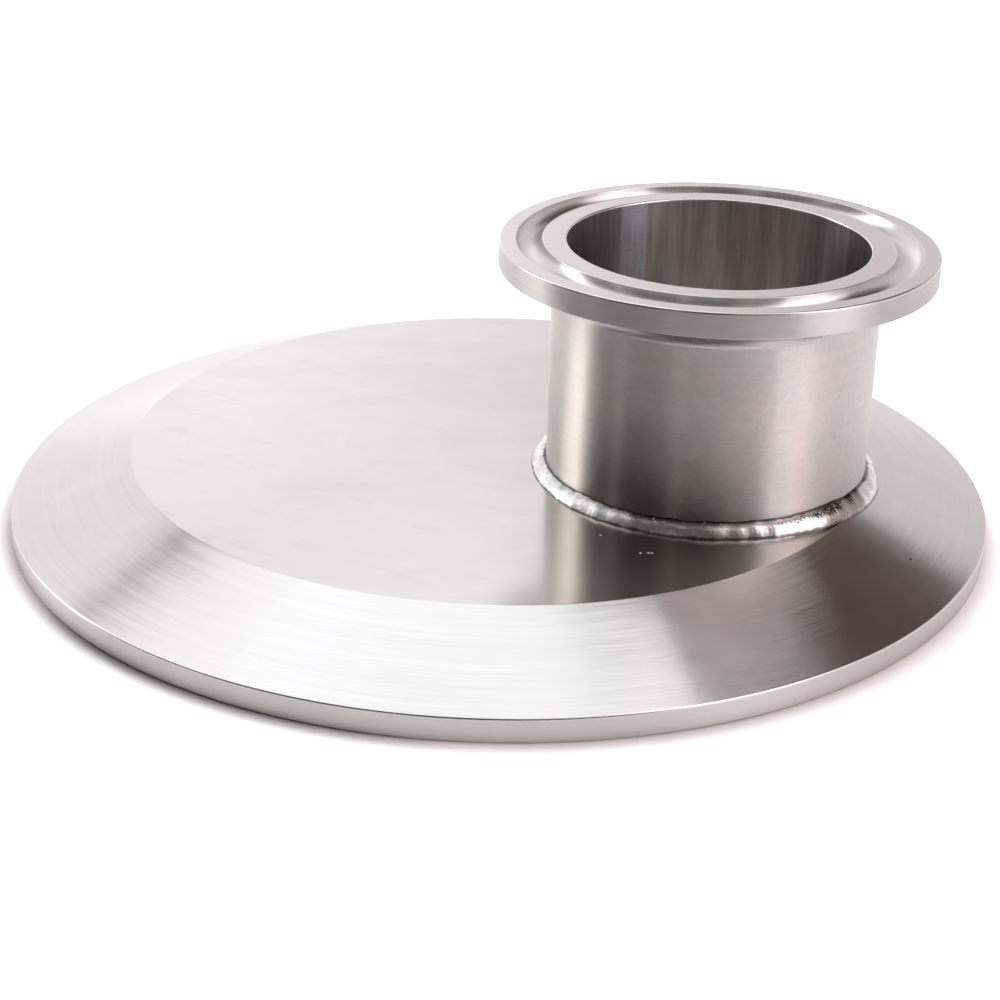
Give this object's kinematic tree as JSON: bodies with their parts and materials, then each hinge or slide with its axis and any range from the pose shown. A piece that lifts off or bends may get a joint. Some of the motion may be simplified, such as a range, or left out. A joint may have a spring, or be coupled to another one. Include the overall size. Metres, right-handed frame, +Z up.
{
  "type": "sanitary clamp reducer",
  "caption": "Offset sanitary clamp reducer: a bevelled steel cap plate with a flanged ferrule welded off centre over a through bore, for joining a small tube line to a large clamp port.",
  "frame": {"origin": "centre of the cap plate's underside, which is the gasket face of the large clamp joint", "axes": "+Z up through the plate towards the ferrule's clamp face, +X from the plate's centre towards the off-centre ferrule"},
  "size_m": [0.119, 0.119, 0.0361],
  "materials": {
    "plate_steel": "stainless steel, turned and finely polished, with faint concentric marks",
    "ferrule_steel": "stainless steel, turned and polished, with fine marks round the axis",
    "weld_metal": "bright rippled weld metal"
  },
  "bodies": {
    "root": {"end_cap": "plate_steel", "ferrule": "ferrule_steel", "weld_bead": "weld_metal"}
  },
  "joints": []
}
